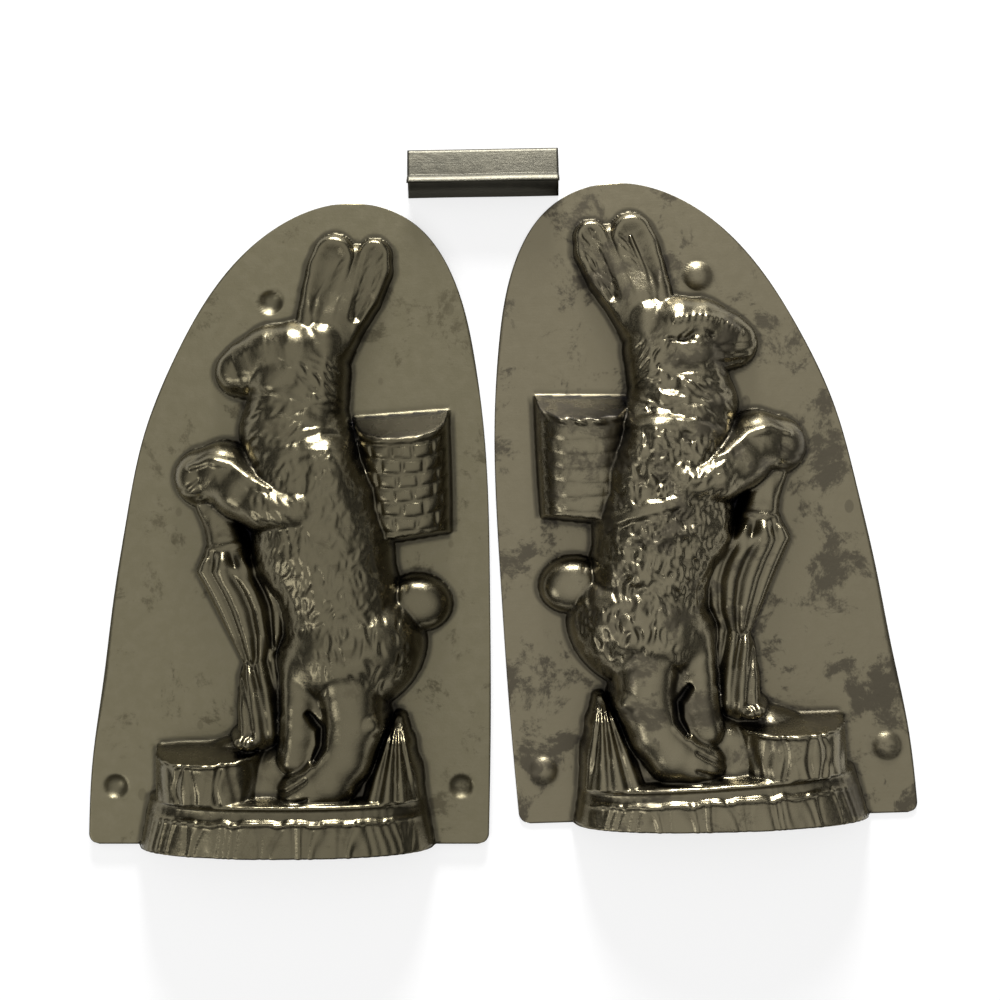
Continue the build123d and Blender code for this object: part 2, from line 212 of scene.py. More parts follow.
def mottle(x, y, size, seed):        # smooth random unevenness from -1 to 1
    i, j = np.floor(x / size), np.floor(y / size)
    u, v = x / size - i, y / size - j
    u, v = u * u * (3 - 2 * u), v * v * (3 - 2 * v)
    low = chance(i, j, seed) * (1 - u) + chance(i + 1, j, seed) * u
    high = chance(i, j + 1, seed) * (1 - u) + chance(i + 1, j + 1, seed) * u
    return 2 * (low * (1 - v) + high * v) - 1


fur = {
    "alongPitch": 0.86,      # spacing of the strokes, as a share of their length
    "acrossPitch": 1.9,      # the same across, as a share of their width
    "scatter": 0.8,
    "smallest": 0.6,
    "sizeSpread": 0.7,
    "bow": 0.8,
    "otherWay": 0.35,        # share of the strokes that bow to the other side
    "sway": 1.5,
    "swaySize": 9.0,
}


def strokes(x, y, length, width, flow, seed, wander=35):     # comma-shaped cuts, depth from 0 to 1
    swayX, swayY = mottle(x, y, fur["swaySize"], seed + 5), mottle(x, y, fur["swaySize"], seed + 6)
    x, y = x + fur["sway"] * swayX, y + fur["sway"] * swayY
    angle = math.radians(flow)
    stepAlong, stepAcross = length * fur["alongPitch"], width * fur["acrossPitch"]
    p = (x * math.cos(angle) + y * math.sin(angle)) / stepAlong
    q = (y * math.cos(angle) - x * math.sin(angle)) / stepAcross
    depth = np.zeros_like(x)
    for down in (-1, 0, 1):
        for over in (-1, 0, 1):
            j = np.floor(q) + over
            i = np.floor(p + 0.5 * (j % 2)) + down
            centreP = i + 0.5 - 0.5 * (j % 2) + fur["scatter"] * (chance(i, j, seed) - 0.5)
            centreQ = j + 0.5 + fur["scatter"] * (chance(i, j, seed + 1) - 0.5)
            tilt = np.radians(wander) * (chance(i, j, seed + 2) - 0.5) * 2
            size = fur["smallest"] + fur["sizeSpread"] * chance(i, j, seed + 3)
            a, b = (p - centreP) * stepAlong, (q - centreQ) * stepAcross
            s = (a * np.cos(tilt) + b * np.sin(tilt)) / (length * size / 2)
            t = (b * np.cos(tilt) - a * np.sin(tilt)) / (width * size / 2)
            side = np.where(chance(i, j, seed + 4) > fur["otherWay"], 1, -1)
            t = t + fur["bow"] * (s ** 2 - 0.4) * side
            taper = np.clip(1 - s ** 2, 0, 1) * (1 - 0.35 * s) * (0.45 + 0.55 * size)
            depth = np.maximum(depth, np.clip(1 - t ** 2, 0, 1) * taper)
    return depth


def trunk(x, y, carve):      # body with its pelt, ruff and the basket's straps
    body = limb(x, y, [(19, 70, 21, 23.6), (16.8, 84, 20.8, 24.6), (11.8, 98, 24, 25),
                       (9.6, 112, 22.4, 24.6), (6, 125, 20, 23), (2.6, 137, 18.8, 20),
                       (3, 147, 16.8, 17.6), (5.4, 157, 14.4, 15.6)])
    upper = groove(x, y, [(-3, 127.5, 2.8), (9, 131, 2.8), (23, 132.4, 2.6)], -1)
    lower = groove(x, y, [(7, 105.4, 2.6), (18, 103.4, 2.6), (32, 100.2, 2.6)], -1)
    strap = carve["strapRise"] * np.clip(1.6 * (upper + lower), 0, 1)
    ruffed = np.clip((y - 124 - 0.2 * x) / 5, 0, 1)
    body = softMax(body, egg(x, y, (14, 121), (13, 20, 25), 20), 3)
    pelt = strokes(x, y, carve["furLength"], 1.25, carve["furFlow"], carve["seed"], 45)
    ruff = strokes(x, y, 7.0, 1.9, 18, carve["seed"] + 20, 30)
    curl = mottle(x, y, carve["curlSize"], carve["seed"]) + 0.4 * mottle(x, y, 1.4, carve["seed"] + 9)
    cut = carve["furDepth"] * (pelt * (1 - ruffed) + 1.15 * ruff * ruffed)
    body = body + (1 - strap) * (carve["curls"] * curl - cut) + 0.8 * strap
    nape = strokes(x, y, 6.0, 1.6, -82, carve["seed"] + 11, 20) * np.clip((x - 9) / 3, 0, 1)
    return body - 0.7 * nape * np.clip((y - 140) / 4, 0, 1)


def eyeAndBrow(x, y):
    ticks = 0.7 + 0.3 * np.sin((x + 0.5 * y) * 2 * math.pi / 2.1)
    brow = groove(x, y, [(-17.5, 158.6, 1.1), (-11, 163, 1.6), (-3, 164.5, 1.9), (4.5, 163.6, 1.7)], -1.0)
    socket = groove(x, y, [(-7.4, 158, 1.4), (-2.8, 158.6, 3.2), (2.6, 157.6, 1.8)], 1.2)
    ball = bump(x, y, (-3, 157.7), (2.9, 2.0, 1.7), -6)
    upperLid = groove(x, y, [(-6.4, 157.2, 0.6), (-4, 160, 0.8), (-0.8, 160, 0.8), (2.6, 157.8, 0.6)], -0.7)
    lowerLid = groove(x, y, [(-5.6, 156.4, 0.5), (-2.6, 155, 0.7), (1, 156, 0.6)], -0.5)
    corner = groove(x, y, [(1.5, 157.4, 0.7), (5, 157.2, 1.1), (8.5, 158.2, 0.8)], 0.9)
    return brow * ticks + socket + 0.8 * ball + upperLid + lowerLid + corner


def muzzleLines(x, y, crisp):
    whiskers = (((-20.6, 154.6), (-14, 155), (-8, 154.2)), ((-21.2, 152.4), (-15, 151.8), (-8, 151.4)),
                ((-20.2, 150.2), (-14, 149.4), (-8.6, 149)), ((-17.6, 147.9), (-13, 147.2), (-9.6, 147)))
    lines = np.zeros_like(x)
    for start, middle, end in whiskers:
        lines = lines + groove(x, y, [(*start, 0.5), (*middle, 0.9), (*end, 0.5)], 0.6 * crisp)
    mouth = [(-18.8, 150.4, 0.7), (-13, 149.6, 1.0), (-7, 149.8, 0.9), (-4.6, 148, 0.6)]
    nostril = [(-23.6, 157.2, 0.6), (-22, 156, 0.9), (-21.8, 154.4, 0.5)]
    jaw = [(-6.5, 146.4, 0.8), (0, 144.9, 1.3), (7, 146, 1.3), (10.8, 149.4, 0.8)]
    lines = lines + groove(x, y, mouth, 0.15 + 0.7 * crisp) + groove(x, y, nostril, 0.4 * crisp)
    return lines + groove(x, y, jaw, 0.25 + 0.6 * crisp)


def headAndFace(x, y, carve):
    crisp = carve["faceLines"]
    skull = limb(x, y, [(-15.6, 156.2, 8.6, 12), (-11.5, 157.4, 10.8, 14.6), (-5, 158.9, 13.3, 17),
                        (1.5, 159, 14.5, 18.6)], 2.7)
    cheek = egg(x, y, (0.5, 152.6), (14, 9.8, 19), 8, 2.3)
    nape = limb(x, y, [(8.6, 146, 11.6, 17.4), (10.2, 156, 10.6, 16.8), (11.6, 165, 9, 15)], 2.4)
    head = softMax(softMax(skull, cheek, 3), nape, 3)
    head = head + crisp * bump(x, y, (-1, 166), (11, 7, 1.0), 14) + 0.12 * mottle(x, y, 3.0, 4)
    marks = crisp * eyeAndBrow(x, y) + muzzleLines(x, y, crisp)
    tufts = strokes(x, y, 5.0, 1.5, -40, 31, 30) * np.clip((x - 3) / 5, 0, 1) * np.clip((161 - y) / 4, 0, 1)
    return np.where(head > 2, head + marks - 0.6 * tufts, head)


def ears(x, y, carve):
    near = limb(x, y, [(8, 167, 6.2, 13.4), (9.8, 175, 6.8, 12), (12, 183, 7.5, 11), (13.9, 190, 7.9, 10.4),
                       (15.4, 194.4, 7.6, 9.8)], 3.2)
    leaf = groove(x, y, [(11.5, 172, 3.0), (12.8, 180, 6.0), (14.4, 189, 6.8), (15.6, 193, 6.0)], 2.6)
    rib = groove(x, y, [(11.4, 174, 0.8), (12.6, 182, 1.3), (16, 193, 0.9)], -0.8 * carve["faceLines"])
    veins = strokes(x, y, 5.5, 1.3, 35, 41, 12) * np.clip((x - 12.4 - 0.3 * (y - 182)) / 2, 0, 1)
    inside = np.clip(-leaf, 0, 1)
    near = np.where(near > 1, near + leaf + inside * (rib - 0.5 * carve["faceLines"] * veins), near)
    far = limb(x, y, [(15.5, 163, 6, 12.4), (19.8, 172, 6.2, 10.4), (24.4, 181, 7, 9.2),
                      (27.9, 190, 7, 8.4), (28.6, 194.4, 6.2, 8)], 3.2)
    hollow = groove(x, y, [(23, 174, 2.6), (26.5, 183, 4.6), (28.6, 191, 5.2), (28.8, 194, 4.6)], 1.8)
    hairs = strokes(x, y, 4.6, 1.2, 55, 43, 20) * np.clip(-hollow, 0, 1)
    far = np.where(far > 1, far + hollow - (0.1 + 0.3 * carve["faceLines"]) * hairs, far)
    web = limb(x, y, [(12.4, 164, 9.4, 15), (14, 172, 10.4, 12.2), (18, 184, 7, 9), (22.2, 194, 4.8, 6.8)])
    return softMax(softMax(near, far, 0.8), web, 2.5)


def arms(x, y, carve):
    near = limb(x, y, [(5, 110.6, 8.8, 26.4), (0, 110.4, 9.4, 26), (-5, 111.6, 10.4, 24.8),
                       (-14, 117, 11, 21.2), (-21, 122.6, 11.2, 18), (-27.4, 121.4, 10.2, 15)], 2.5)
    crest = groove(x, y, [(-30, 124.6, 1.6), (-24, 127, 2.4), (-16, 125.4, 2.4), (-9, 120.6, 2.2),
                          (-3.5, 117.6, 1.2)], -1.3)
    fingers = groove(x, y, [(-36, 116.5, 0.8), (-31, 117.4, 1.3), (-27, 120.4, 0.8)], 0.5)
    fingers = fingers + groove(x, y, [(-34, 112.6, 0.7), (-30, 114, 1.1), (-25.6, 115.8, 0.8)], 0.4)
    cuff = strokes(x, y, 4.2, 1.5, -55, carve["seed"] + 50, 30) * np.clip((x + 15) / 7, 0, 1)
    lumps = carve["curls"] * 0.8 * mottle(x, y, 3.2, carve["seed"] + 51) * np.clip((x + 15) / 7, 0, 1)
    return np.where(near > 1, near + crest + fingers - carve["furDepth"] * cuff + lumps, near)


def nearLeg(x, y, carve):
    thigh = egg(x, y, (21, 64), (25.8, 21, 26.2), 22)
    knee = np.clip((17 - x) / 9, 0, 1) * np.clip((y - 50) / 8, 0, 1)       # the knee is rubbed smooth
    hair = strokes(x, y, carve["thighLength"], 2.1, -80, carve["seed"] + 70, 30)
    curl = mottle(x, y, carve["curlSize"], carve["seed"] + 71)
    thigh = thigh + (1 - 0.85 * knee) * (0.7 * carve["curls"] * curl - carve["thighDepth"] * hair)
    shin = limb(x, y, [(21.5, 52, 12.6, 24.6), (22.4, 41, 12, 24.2), (19.6, 31, 12, 23.8),
                       (14.5, 23.6, 12, 23.8), (9, 20.6, 10.4, 23.2), (5, 19.6, 8.6, 22)], 2.5)
    calf = limb(x, y, [(6, 60, 9, 20.4), (5.4, 48, 8.4, 21), (5, 38, 8, 20.6), (3.6, 30, 7.4, 19.8)], 2.4)
    ankle = egg(x, y, (28.6, 42), (6.4, 7, 23.4))
    between = limb(x, y, [(11, 21, 12, 18.4), (14, 32, 14, 18.8), (15, 44, 16, 19), (15, 56, 17, 18)], 4)
    leg = softMax(softMax(shin, ankle, 2.5), softMax(softMax(thigh, calf, 3), between, 3), 2.5)
    toes = groove(x, y, [(-3, 19.6, 0.8), (2, 20.6, 1.2), (8, 24.4, 0.8)], 1.3)
    toes = toes + groove(x, y, [(-2.6, 15.2, 0.8), (3, 16.2, 1.2), (8.6, 18.6, 0.7)], 1.2)
    instep = groove(x, y, [(0, 24, 1.0), (8, 27, 1.7), (14.5, 33, 1.2)], -0.9)
    shinBone = groove(x, y, [(-0.6, 44, 1.2), (-1.4, 36, 1.8), (-3.4, 28, 1.2)], -1.2)
    notch = groove(x, y, [(8.6, 45.5, 1.2), (12.6, 40.5, 2.1), (13, 35, 2.1), (10.4, 30, 1.4)], 3.4)
    return np.where(leg > 3, leg + toes + instep + shinBone + notch, leg)


def farLeg(x, y):
    leg = limb(x, y, [(-7, 63, 7, 11), (-7.8, 55, 8.2, 14), (-8, 46, 8.6, 16.6), (-8, 40, 8.6, 18)], 2.8)
    fold = ridges((x + 0.16 * y + 1.0 * np.sin(y / 9)) / 4.8)
    leg = np.where(leg > 1, leg + 2.0 * (fold - 0.6), leg)
    foot = egg(x, y, (-12, 35.6), (7.2, 4.6, 20.4), -12)
    toes = groove(x, y, [(-17.4, 32, 0.7), (-16, 38.4, 1.0)], 1.3)
    toes = toes + groove(x, y, [(-12.6, 31.4, 0.7), (-11.6, 38, 1.0)], 1.3)
    return softMax(leg, np.where(foot > 1, foot + toes, foot), 0.9)


def legsAndTail(x, y, carve):
    tail = egg(x, y, (43.4, 80.2), (11.2, 9.7, 12.6), -8, 2.6)
    tuft = strokes(x, y, 6.5, 1.5, -80, 77, 22) * np.clip((44 - x) / 6, 0, 1)
    return softMax(softMax(nearLeg(x, y, carve), tail - 0.5 * tuft, 4), farLeg(x, y), 1.2)


ground = {
    "halfWidth": 48.7,
    "taper": 3.0,            # how much narrower each side is at the rim
    "height": 24.6,
    "flutes": 11,            # ribs of bark for each radian round the base
    "fallOff": 5.0,          # slope of the drum's top
    "overlap": 0.4,          # how far earth and stump reach into the rim
    "stumpMiddle": -24.0,
    "stumpHalfWidth": 19.3,
    "stumpRise": 23.6,
    "stumpTopSlope": 0.21,
    # cracks in the stump's bark, by place and depth
    "cracks": [(-16, 1.2), (-11, 0.7), (-8, 1.6), (-4, 1.0), (0.5, 0.6), (4.5, 1.5), (9, 0.8), (13, 1.2)],
}


def baseDrum(x, y, carve):       # bark below and a smooth band above, each under a bead
    rim = carve["rimHeight"]
    halfWidth = ground["halfWidth"] - ground["taper"] * y / rim
    angle = np.arccos(np.clip(x / halfWidth, -1, 1))
    barkLine = carve["barkHeight"] + 0.5 * mottle(x, 0 * y, 3.6, 5)
    slant = angle * ground["flutes"] + 0.9 * mottle(angle * 30, 0.3 * y, 4.0, 15) + 0.04 * y
    flutes = ridges(slant) * (0.3 + 0.9 * chance(np.floor(slant), 0, 2))
    bead = 1.4 * np.exp(-((y - barkLine) / 0.8) ** 2) + 1.3 * np.exp(-((y - rim + 0.5) / 0.7) ** 2)
    skin = np.where(y < barkLine, 0.8 * flutes, 0.2 * flutes - 0.8)
    drum = pillow(x / halfWidth, ground["height"] + skin + bead, halfWidth - np.abs(x), 2.3)
    return np.maximum(drum - ground["fallOff"] * np.clip(y - rim, 0, None), absent)


def earthAndGrass(x, y):
    earth = egg(x, y, (2, 17), (43, 22, 16.6)) + 0.5 * mottle(x, y, 4.0, 7)
    tussock = [(33.6, 12, 12.6, 19.4), (35, 24, 10.2, 18), (36.6, 34, 6, 14.6), (37.2, 42, 2.6, 9)]
    grass = limb(x, y, tussock, 2.6)
    fan = (x - 36.4) / (46 - y) * 34         # the blades spread from one point above them
    blades = 1.8 * (ridges(fan / 6.5) - 0.6) * np.clip((47 - y) / 10, 0, 1)
    return softMax(earth, np.where(grass > 1, grass + blades, grass), 0.8)


def treeStump(x, y, carve):
    fromMiddle = x - ground["stumpMiddle"]
    halfWidth, slope = ground["stumpHalfWidth"], ground["stumpTopSlope"]
    bark = 0.6 * mottle(x, 0.6 * y, 3.4, 17)
    for across, deep in ground["cracks"]:
        sway = across + 0.9 * np.sin(y / 3.4 + across)
        bark = bark - 0.6 * deep * np.clip(1 - ((fromMiddle - sway) / 1.3) ** 2, 0, 1)
    stump = pillow(fromMiddle / halfWidth, ground["stumpRise"] + bark, halfWidth - np.abs(fromMiddle), 2.3)
    edge = carve["stumpHeight"] + 0.05 * fromMiddle - y
    lip = 1.3 * np.exp(-((edge - slope * stump) / 0.9) ** 2)
    return softMin(stump + lip, edge / slope, 0.5)


def groundAndStump(x, y, carve):
    aboveRim = y > carve["rimHeight"] - ground["overlap"]
    stump = np.where(aboveRim, treeStump(x, y, carve), absent)
    earth = np.where(aboveRim, earthAndGrass(x, y), absent)
    root = limb(x, y, [(-22, 22.6, 2.0, 19), (-16, 17, 2.8, 20.6), (-9, 11.5, 2.4, 20.6)])
    leaf = limb(x, y, [(-19, 13.6, 0.8, 20.6), (-15.4, 14.6, 2.2, 21.6), (-10, 11.6, 0.9, 21)])
    both = softMax(softMax(baseDrum(x, y, carve), stump, 0.7), earth, 0.8)
    return softMax(both, softMax(root, leaf, 0.6), 0.9)


basket = {
    "lean": 4.5,
    "foot": 100.5,
    "footSlope": 0.17,
    "height": 43.0,
    "halfWidth": 12.5,
    "flare": 3.5,            # how much wider each side gets towards the top
    "rise": 17.2,
    "footFall": 3.0,         # how much lower it stands at its foot
    "mouthAt": (38.9, 143.5),
    "mouthSlope": 0.53,      # the open top slopes away from the rim
    "rim": 2.8,
    "course": 4.9,
    "block": 7.2,
}


def basketMouth(x):          # line of the open top on the parting face
    return basket["mouthAt"][1] + math.tan(math.radians(basket["lean"])) * (x - basket["mouthAt"][0])


def basketForm(x, y, carve):
    up = (y - basket["foot"]) / basket["height"]
    lean = math.tan(math.radians(basket["lean"]))
    fromMiddle = x - carve["basketMiddle"] + lean * (y - basket["foot"] - basket["height"] / 2)
    halfWidth = basket["halfWidth"] + basket["flare"] * np.clip(up + 0.08, 0, 1.1) ** 0.55
    across = fromMiddle / halfWidth
    rise = basket["rise"] - basket["footFall"] * (1 - np.clip(up, 0, 1)) ** 1.6
    body = pillow(across, rise, halfWidth - np.abs(fromMiddle), 2.5)
    below = basketMouth(x) - basket["mouthSlope"] * body - y
    rim, tall, long = basket["rim"], basket["course"], basket["block"]
    course = (below - rim) / tall + 0.1 * mottle(x, y, 6, 12)
    row = np.floor(course)
    joint = np.arcsin(np.clip(across, -1, 1)) * halfWidth / long + 0.5 * (row % 2)
    joint = joint + 0.5 * chance(row, 0, carve["seed"]) + 0.06 * mottle(x, y, 4, 14)
    toCourse = np.minimum(course % 1, 1 - course % 1) * tall
    toJoint = np.minimum(joint % 1, 1 - joint % 1) * long
    cut = np.maximum(np.clip(1 - toCourse, 0, 1), carve["basketJoints"] * np.clip(1 - toJoint, 0, 1))
    puff = 0.35 * np.clip(toCourse / 2.4, 0, 1) * np.clip(toJoint / 2.4, 0, 1)
    weave = 0.4 + carve["weave"] * (puff - 0.8 * cut + 0.4 * chance(row, np.floor(joint), 6))
    roll = np.sin(math.pi * np.clip(below / rim, 0, 1))
    twist = carve["rimTwist"] * np.sin((x + 0.9 * below) * 2 * math.pi / 6.2)
    body = body + np.where(below > rim, weave, roll ** 0.7 + 0.8 * twist * roll)
    mouth = (basketMouth(x) - y) / basket["mouthSlope"]
    foot = basket["foot"] + basket["footSlope"] * (x - basket["mouthAt"][0])
    under = (y - foot) * sheetMetal["wallSlope"]
    return np.maximum(softMin(softMin(body, mouth, 0.6), under, 1.2), absent)


umbrella = {                 # pairs of a place y and the value there, from the tip up to the paw
    "leftEdge": [(58, -12.5), (61, -15), (90.5, -30.3), (96, -27.8), (99, -26.8), (104, -27.6), (114, -31.5)],
    "rightEdge": [(58, -6), (61, -3), (70, 1.5), (78, 2.5), (84, 0.5), (90, -4), (95, -9), (99, -12),
                  (104, -14), (114, -19)],
    "rise": [(58, 9), (62, 12.4), (70, 14.6), (92, 14.2), (99, 11.4), (106, 10.6), (114, 10)],
    "foot": 57.0,
    "top": 113.0,
}


def umbrellaForm(x, y, carve):
    left, right, rise = [np.interp(y, *zip(*umbrella[key])) for key in ("leftEdge", "rightEdge", "rise")]
    middle, half = (left + right) / 2, (right - left) / 2
    turn = np.clip((x - left) / (right - left), 0, 1)
    cloth = pillow((x - middle) / half, rise, 0.9 * (half - np.abs(x - middle)), 3)
    cloth = np.minimum(cloth, 4 * (y - umbrella["foot"] - 0.5))
    pleats = ridges(carve["pleats"] * turn)
    lobes = ridges((carve["pleats"] - 1) * turn + 0.2)
    onPleats = np.clip((93 - y) / 5, 0, 1)
    onLobes = np.clip((98.5 - y) / 4, 0, 1) * (1 - onPleats)
    folds = onPleats * carve["pleatRise"] * (pleats - 0.7) + onLobes * 2.6 * (lobes - 0.5)
    deepest = groove(x, y, [(-11.5, 95, 1.2), (-5.5, 80, 2.0), (-3.6, 66, 1.2)], carve["pleatGroove"])
    collar = groove(x, y, [(-28, 97.6, 1.2), (-20, 98.8, 1.5), (-12, 100.4, 1.2)], -0.8)
    crease = groove(x, y, [(-23, 112, 0.9), (-16, 107, 1.3), (-11, 102.6, 0.9)], -0.9)
    crumple = 0.3 * mottle(x, y, 2.6, 13) * (1 - onPleats)
    form = np.where(cloth > 0.5, cloth + folds + deepest + collar + crease + crumple, cloth)
    inReach = (y > umbrella["foot"]) & (y < umbrella["top"])
    return np.where(inReach, np.maximum(form, absent), absent)


def hareHeight(x, y, carve):     # outer height of the whole figure over the parting face
    body = softMax(trunk(x, y, carve), headAndFace(x, y, carve), 1.6)
    shoulder = 0.8 + 3 * np.clip((x + 3) / 9, 0, 1)          # the arm grows out of the body there
    body = softMax(softMax(body, arms(x, y, carve), shoulder), legsAndTail(x, y, carve), 2.5)
    carried = softMax(basketForm(x, y, carve), umbrellaForm(x, y, carve), 0.6)
    rest = softMax(carried, groundAndStump(x, y, carve), 0.8)
    return softMax(softMax(body, ears(x, y, carve), 2), rest, 1.0)


def splineThrough(points, count):        # natural cubic curve through the points, by chord length
    knots = np.concatenate([[0], np.cumsum([math.dist(a, b) for a, b in zip(points, points[1:])])])
    gaps = np.diff(knots)
    values = np.array(points, float)
    n = len(points)
    system, right = np.eye(n), np.zeros((n, 2))
    for i in range(1, n - 1):
        system[i, i - 1:i + 2] = gaps[i - 1], 2 * (gaps[i - 1] + gaps[i]), gaps[i]
        right[i] = 6 * ((values[i + 1] - values[i]) / gaps[i] - (values[i] - values[i - 1]) / gaps[i - 1])
    bend = np.linalg.solve(system, right)
    t = np.linspace(0, knots[-1], count)
    i = np.clip(np.searchsorted(knots, t, side="right") - 1, 0, n - 2)
    g, a, b = gaps[i][:, None], (knots[i + 1] - t)[:, None], (t - knots[i])[:, None]
    cubic = (bend[i] * a ** 3 + bend[i + 1] * b ** 3) / (6 * g)
    return cubic + (values[i] / g - bend[i] * g / 6) * a + (values[i + 1] / g - bend[i + 1] * g / 6) * b


def flangeEdges():       # left and right edge as x over y
    width, height = sheetMetal["width"], sheetMetal["height"]
    outline = [(a * width, b * height) for a, b in sheetMetal["edge"]]
    curve = splineThrough(outline, fineness["edgePoints"])
    crown = int(curve[:, 1].argmax())
    return curve[:crown + 1], curve[crown:][::-1]


def evened(values, pick):        # the outermost value of the rows beside each row, smoothed
    reach = fineness["evenedRows"]
    count = 2 * reach + 1
    padded = np.pad(values, reach, mode="edge")
    widest = pick(np.stack([padded[k:k + len(values)] for k in range(count)]), 0)
    return np.convolve(np.pad(widest, reach, mode="edge"), np.ones(count) / count, mode="valid")


def columnLines(ys, carve):          # flange edge, both sides of the figure, flange edge, as x for each y
    leftEdge, rightEdge = flangeEdges()
    low = np.interp(ys, leftEdge[:, 1], leftEdge[:, 0])
    high = np.interp(ys, rightEdge[:, 1], rightEdge[:, 0])
    corner = sheetMetal["footCorner"]
    inset = corner - np.sqrt(corner ** 2 - np.clip(corner - ys, 0, None) ** 2)
    low, high = low + inset, high - inset
    places = np.linspace(-0.5, 0.5, fineness["searchColumns"]) * sheetMetal["width"]
    raised = hareHeight(*np.meshgrid(places, ys, indexing="ij"), carve) > sheetMetal["thickness"]
    middle, halfFigure = 0.16 * sheetMetal["width"], 8.0         # for rows above the ears
    first = np.where(raised.any(0), places[raised.argmax(0)], middle - halfFigure)
    last = np.where(raised.any(0), places[len(places) - 1 - raised[::-1].argmax(0)], middle + halfFigure)
    spare = 0.12 * (high - low)
    figureLow = np.maximum(evened(first, np.min) - 1, low + spare)
    figureHigh = np.minimum(evened(last, np.max) + 1, high - spare)
    return low, figureLow, figureHigh, high


def dimples(x, y, carve):        # domes up or down, with the sheet's own thickness
    radius = ((dimple["width"] / 2) ** 2 + dimple["depth"] ** 2) / (2 * dimple["depth"])
    way = 1 if carve["raised"] else -1
    radius = radius + way * sheetMetal["thickness"]
    side = sheetMetal["width"] / 2 - dimple["sideInset"]
    height = np.zeros_like(x)
    for place in ((-side, dimple["sideHeight"]), (side, dimple["sideHeight"]), dimple["top"]):
        ball = radius ** 2 - (x - place[0]) ** 2 - (y - place[1]) ** 2
        height = height + np.clip(np.sqrt(np.clip(ball, 0, None)) - radius + dimple["depth"], 0, None)
    return way * height


def topFace(x, y, carve):
    flat = sheetMetal["thickness"]
    figure = softMax(hareHeight(x, y, carve), flat + 0 * x, sheetMetal["crease"])
    return np.maximum(figure, flat) + dimples(x, y, carve)


def underFace(x, y, carve):          # the lowest top nearby, so that steep walls keep their thickness
    step = sheetMetal["wallStep"]
    nearby = [topFace(x + a, y + b, carve) for a, b in ((0, 0), (step, 0), (-step, 0), (0, step), (0, -step))]
    return np.minimum.reduce(nearby) - sheetMetal["thickness"]


# Painted shade: hollows and the basket's open mouth are coloured darker, as if in shade
paintedShade = {
    "reach": 2.2,            # how far aside a hollow is felt
    "hollowDepth": 1.6,
    "hollowShade": 0.55,
    "mouthShade": 0.75,
    "mouthBand": 0.5,
}


def paintedShadeShare(x, y, z, carve):         # painted shade, 0 none to 1 black, in hollows and in the basket's mouth
    reach = paintedShade["reach"]
    sides = ((reach, 0), (-reach, 0), (0, reach), (0, -reach))
    around = sum(topFace(x + a, y + b, carve) for a, b in sides) / len(sides)
    hollow = np.clip((around - z) / paintedShade["hollowDepth"], 0, 1)
    mouth = (basketMouth(x) - y) / basket["mouthSlope"]
    inMouth = np.exp(-((z - mouth) / paintedShade["mouthBand"]) ** 2) * (x > 20) * (z > 2 * sheetMetal["thickness"])
    return np.clip(paintedShade["hollowShade"] * hollow + paintedShade["mouthShade"] * inMouth, 0, 1)


def closedSheet(columns, rows):      # a fine grid above a coarser one, joined round their edges
    coarser = fineness["coarser"]
    bm = bmesh.new()
    bmesh.ops.create_grid(bm, x_segments=columns, y_segments=rows, size=1)
    bmesh.ops.create_grid(bm, x_segments=columns // coarser, y_segments=rows // coarser, size=1,
                          matrix=Matrix.Translation((0, 0, -1)))
    underRim = [e for e in bm.edges if e.is_boundary and e.verts[0].co.z < -0.5]
    bmesh.ops.subdivide_edges(bm, edges=underRim, cuts=coarser - 1)
    bmesh.ops.reverse_faces(bm, faces=[f for f in bm.faces if f.verts[0].co.z < -0.5])
    bmesh.ops.bridge_loops(bm, edges=[e for e in bm.edges if e.is_boundary])
    return bm


def onHalf(verts, rowYs, lines, carve):      # where the unit square's vertices lie, in the half's millimetres
    margin, figure = fineness["marginColumns"], fineness["figureColumns"]
    column = (np.array([v.co.x for v in verts]) * 0.5 + 0.5) * (2 * margin + figure)
    y = (np.array([v.co.y for v in verts]) * 0.5 + 0.5) * rowYs[-1]
    low, figureLow, figureHigh, high = [np.interp(y, rowYs, line) for line in lines]
    x = low + (figureLow - low) * np.clip(column / margin, 0, 1)
    x = x + (figureHigh - figureLow) * np.clip((column - margin) / figure, 0, 1)
    x = x + (high - figureHigh) * np.clip((column - margin - figure) / margin, 0, 1)
    away = 1 - y / rowYs[-1]
    return x, y - carve["footDrop"] * away + math.tan(math.radians(carve["footSkew"])) * away * x


def addPiece(name, bm):      # an object at the origin, with the finished shape in its mesh
    mesh = bpy.data.meshes.new(name)
    bm.to_mesh(mesh)
    bm.free()
    mesh.shade_smooth()
    piece = bpy.data.objects.new(name, mesh)
    bpy.context.scene.collection.objects.link(piece)
    return piece


def buildHalf(name, carve, place):       # place turns the half's own millimetres into the frame's metres
    rows = fineness["rows"]
    bm = closedSheet(2 * fineness["marginColumns"] + fineness["figureColumns"], rows)
    shadeLayer = bm.verts.layers.float.new("paintedShade")
    topVerts = [v for v in bm.verts if v.co.z > -0.5]
    underVerts = [v for v in bm.verts if v.co.z < -0.5]
    justUnderCrown = flangeEdges()[0][-1, 1] - 0.02
    rowYs = np.linspace(0, justUnderCrown, rows + 1)
    lines = columnLines(rowYs, carve)
    for verts, isTop in ((topVerts, True), (underVerts, False)):
        x, y = onHalf(verts, rowYs, lines, carve)
        z = topFace(x, y, carve) if isTop else underFace(x, y, carve)
        # painted shade for hollows and the basket's mouth, kept on the top's vertices
        shadeShare = paintedShadeShare(x, y, z, carve) if isTop else np.zeros_like(z)
        for v, *spot, share in zip(verts, x, y, z, shadeShare):
            v.co = place @ Vector(spot)
            v[shadeLayer] = share
    if place.to_3x3().determinant() < 0:
        bmesh.ops.reverse_faces(bm, faces=bm.faces)
    return addPiece(name, bm)


